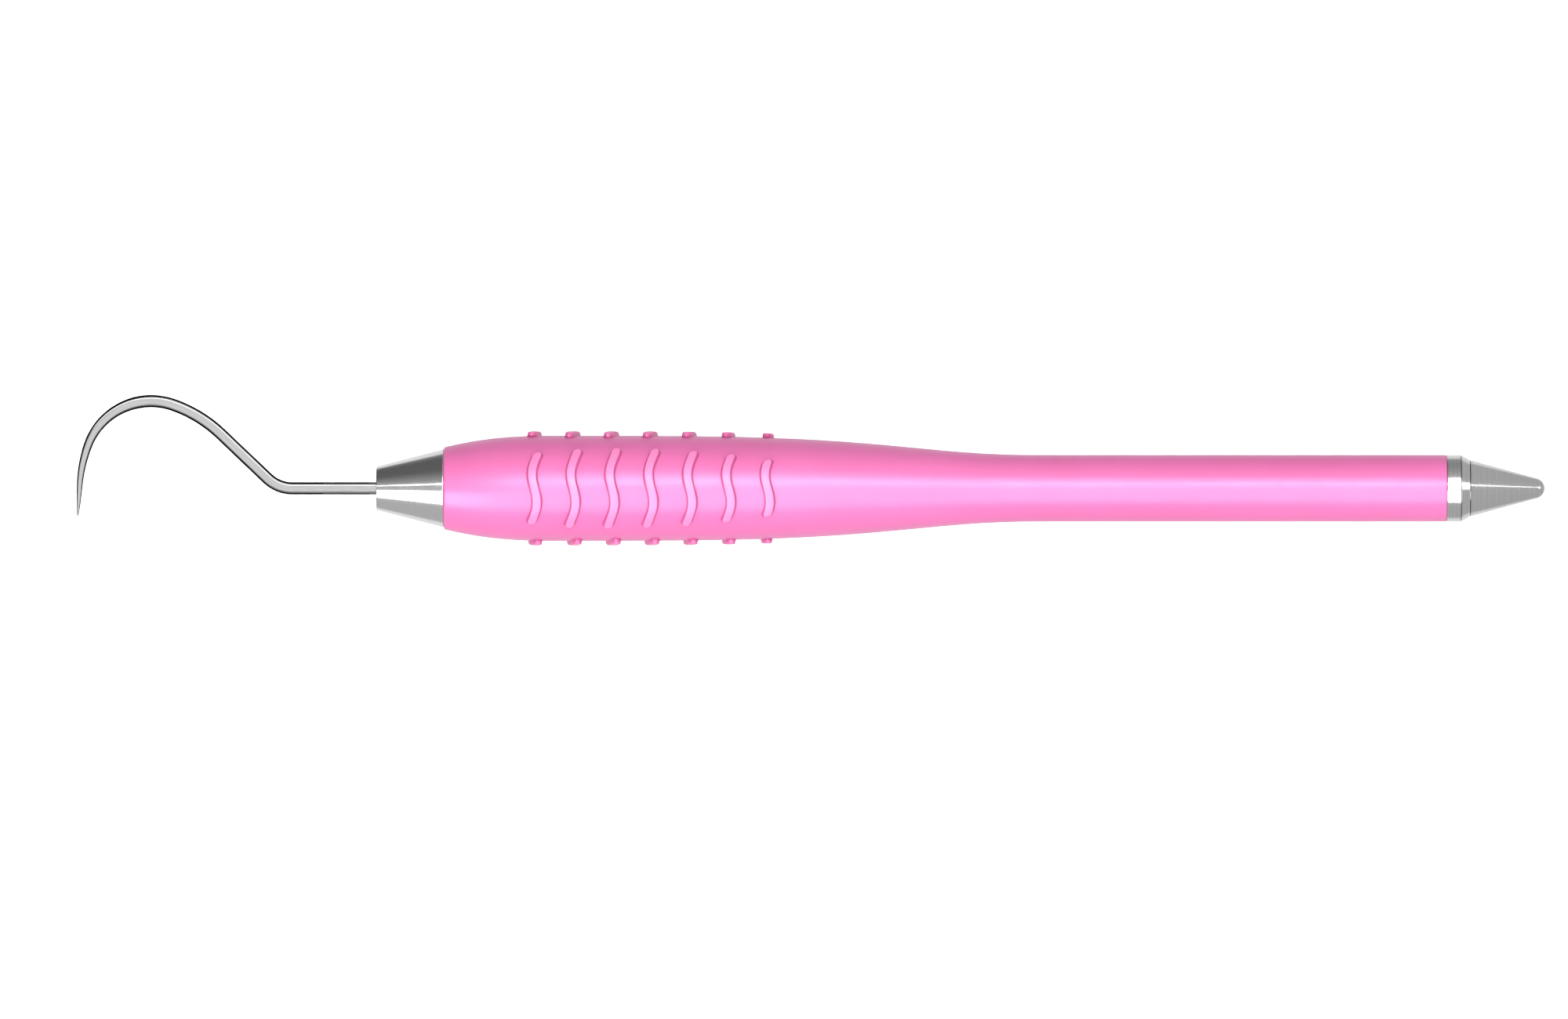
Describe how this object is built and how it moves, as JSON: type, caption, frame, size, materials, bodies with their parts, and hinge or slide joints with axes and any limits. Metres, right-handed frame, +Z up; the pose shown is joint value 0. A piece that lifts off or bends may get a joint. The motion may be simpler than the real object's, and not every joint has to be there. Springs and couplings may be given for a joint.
{
  "type": "dental explorer",
  "caption": "Single-ended dental explorer with a hooked steel probe, a ribbed silicone grip sleeve and screw-out nose and tail cones.",
  "frame": {"origin": "On the handle's axis, halfway along the straight rear shaft of the grip sleeve", "axes": "+X along the handle from the probe to the tail cone; the hook lies in the XY plane and rises towards +Y; +Z is up with the explorer lying on its side"},
  "size_m": [0.1686, 0.0173, 0.013],
  "materials": {
    "probe_steel": "hardened stainless spring wire, polished bright",
    "turned_steel": "turned stainless steel, mirror polished",
    "satin_steel": "turned stainless steel, satin with a soft shine",
    "tube_steel": "drawn stainless tube",
    "bush_steel": "plain turned stainless",
    "seal_rubber": "matt black",
    "pink_silicone": "smooth opaque silicone with a soft satin shine"
  },
  "bodies": {
    "handle": {"grip_sleeve": "pink_silicone", "core_tube": "tube_steel", "front_bush": "bush_steel", "rear_bush": "bush_steel"},
    "front_ring": {"front_seal": "seal_rubber"},
    "probe": {"nose_cone": "turned_steel", "explorer_tip": "probe_steel"},
    "rear_ring": {"rear_seal": "seal_rubber"},
    "tail": {"tail_cone": "satin_steel"}
  },
  "joints": [
    {"name": "probe_travel", "type": "slide", "parent": "handle", "child": "front_ring", "axis": [-1, 0, 0], "range_m": [0, 0.004]},
    {"name": "probe_screw", "type": "hinge", "parent": "front_ring", "child": "probe", "pos_m": [-0.09265, 0, 0], "axis": [-1, 0, 0], "range_deg": [0, 2880]},
    {"name": "tail_travel", "type": "slide", "parent": "handle", "child": "rear_ring", "axis": [1, 0, 0], "range_m": [0, 0.004]},
    {"name": "tail_screw", "type": "hinge", "parent": "rear_ring", "child": "tail", "pos_m": [0.02245, 0, 0], "axis": [1, 0, 0], "range_deg": [0, 2880]}
  ],
  "couplings": [
    {"joint": "probe_screw", "follows": "probe_travel", "rad_per_m": 12566},
    {"joint": "tail_screw", "follows": "tail_travel", "rad_per_m": 12566}
  ]
}
